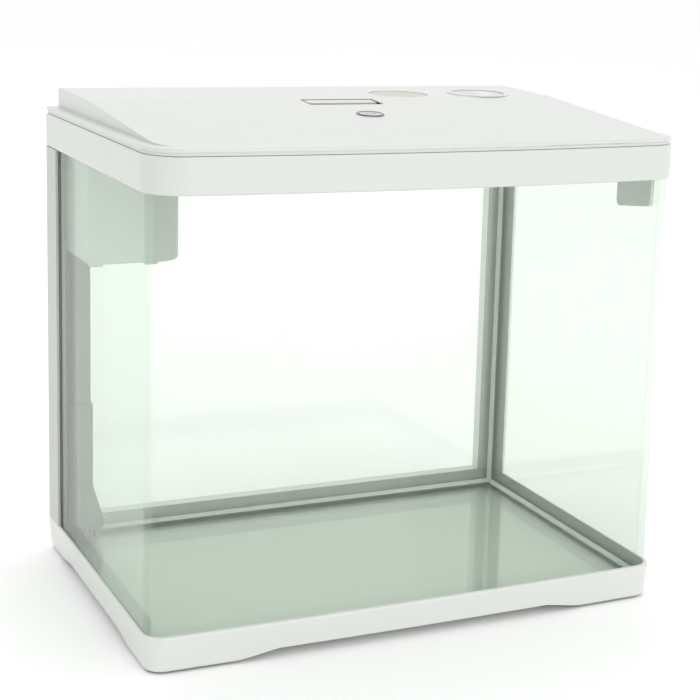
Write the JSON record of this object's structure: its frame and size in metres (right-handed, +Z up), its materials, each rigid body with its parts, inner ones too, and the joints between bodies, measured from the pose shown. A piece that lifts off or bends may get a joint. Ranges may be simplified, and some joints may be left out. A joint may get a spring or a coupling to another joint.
{
  "type": "aquarium on stand",
  "caption": "Small all-in-one glass desktop aquarium on a low moulded plinth, with a hinged wedge lid, lamp, hanging corner filter box and riser pump.",
  "frame": {"origin": "centre of the glass tank across its width, 2 mm in front of the middle of the overall depth, on the plane the rubber feet stand on", "axes": "+Z up, +Y towards the back of the tank, -Y out of the front pane, +X to the right seen from the front"},
  "size_m": [0.3766, 0.2769, 0.3477],
  "materials": {
    "white_abs": "glossy white moulding",
    "pale_grey_abs": "satin pale grey moulding",
    "filter_white": "satin white moulding",
    "grey_plastic": "satin mid grey moulding",
    "rubber": "matt black rubber",
    "foam": "closed-cell foam",
    "glass": "clear float glass with green edges",
    "silicone": "clear silicone sealant",
    "steel": "stainless steel",
    "dark_ring": "dark grey gloss",
    "silver_disc": "silver-grey satin",
    "board": "white solder mask",
    "led": "light chips",
    "clear_cover": "clear lamp cover",
    "ceramic_media": "unglazed porous ceramic",
    "sponge": "open-cell sponge",
    "resin": "potted resin",
    "shaft_ceramic": "polished ceramic",
    "magnet": "sintered ferrite magnet",
    "impeller_plastic": "moulded impeller"
  },
  "bodies": {
    "tank": {"base_tray": "white_abs", "foot_pads": "rubber", "foam_mat": "foam", "front_side_pane": "glass", "back_pane": "glass", "bottom_pane": "glass", "silicone_seams": "silicone", "corner_post_left": "white_abs", "corner_post_right": "white_abs", "top_rim": "white_abs", "hinge_pins": "steel", "rim_bracket": "white_abs", "cable_grommet": "rubber", "filter_box": "filter_white", "media_grid": "filter_white", "bio_rings": "ceramic_media", "filter_sponge": "sponge", "riser_duct": "grey_plastic", "riser_sleeve": "grey_plastic", "pump_housing": "grey_plastic", "pump_stator": "resin", "impeller_shaft": "shaft_ceramic", "pump_cover": "grey_plastic"},
    "lid": {"lid_shell": "white_abs", "feeding_ring": "white_abs", "feeding_scoop": "grey_plastic", "badge_ring": "dark_ring", "badge_disc": "silver_disc", "led_housing": "white_abs", "led_board": "board", "led_chips": "led", "led_cover": "clear_cover", "lamp_screws": "steel"},
    "feeding_flap": {"feeding_flap": "white_abs"},
    "feeding_cap": {"feeding_cap": "white_abs"},
    "blank_cap": {"blank_cap": "pale_grey_abs"},
    "impeller_rotor": {"impeller": "impeller_plastic", "impeller_magnet": "magnet"},
    "drip_tray": {"drip_tray": "filter_white"}
  },
  "joints": [
    {"name": "lid_hinge", "type": "hinge", "parent": "tank", "child": "lid", "pos_m": [0, 0.1365, 0.3305], "axis": [-1, 0, 0], "range_deg": [0, 100]},
    {"name": "feeding_flap_hinge", "type": "hinge", "parent": "lid", "child": "feeding_flap", "pos_m": [0, 0.03736, 0.34425], "axis": [-1, 0, 0], "range_deg": [0, 90]},
    {"name": "feeding_cap_lift", "type": "slide", "parent": "lid", "child": "feeding_cap", "axis": [0, -0.02, 0.9998], "range_m": [0, 0.03]},
    {"name": "blank_cap_lift", "type": "slide", "parent": "lid", "child": "blank_cap", "axis": [0, -0.02, 0.9998], "range_m": [0, 0.03]},
    {"name": "impeller_spin", "type": "hinge", "parent": "tank", "child": "impeller_rotor", "pos_m": [-0.168, 0.101, 0.035], "axis": [0, 0, 1], "continuous": true},
    {"name": "drip_tray_lift", "type": "slide", "parent": "tank", "child": "drip_tray", "axis": [0, 0, 1], "range_m": [0, 0.012]}
  ]
}
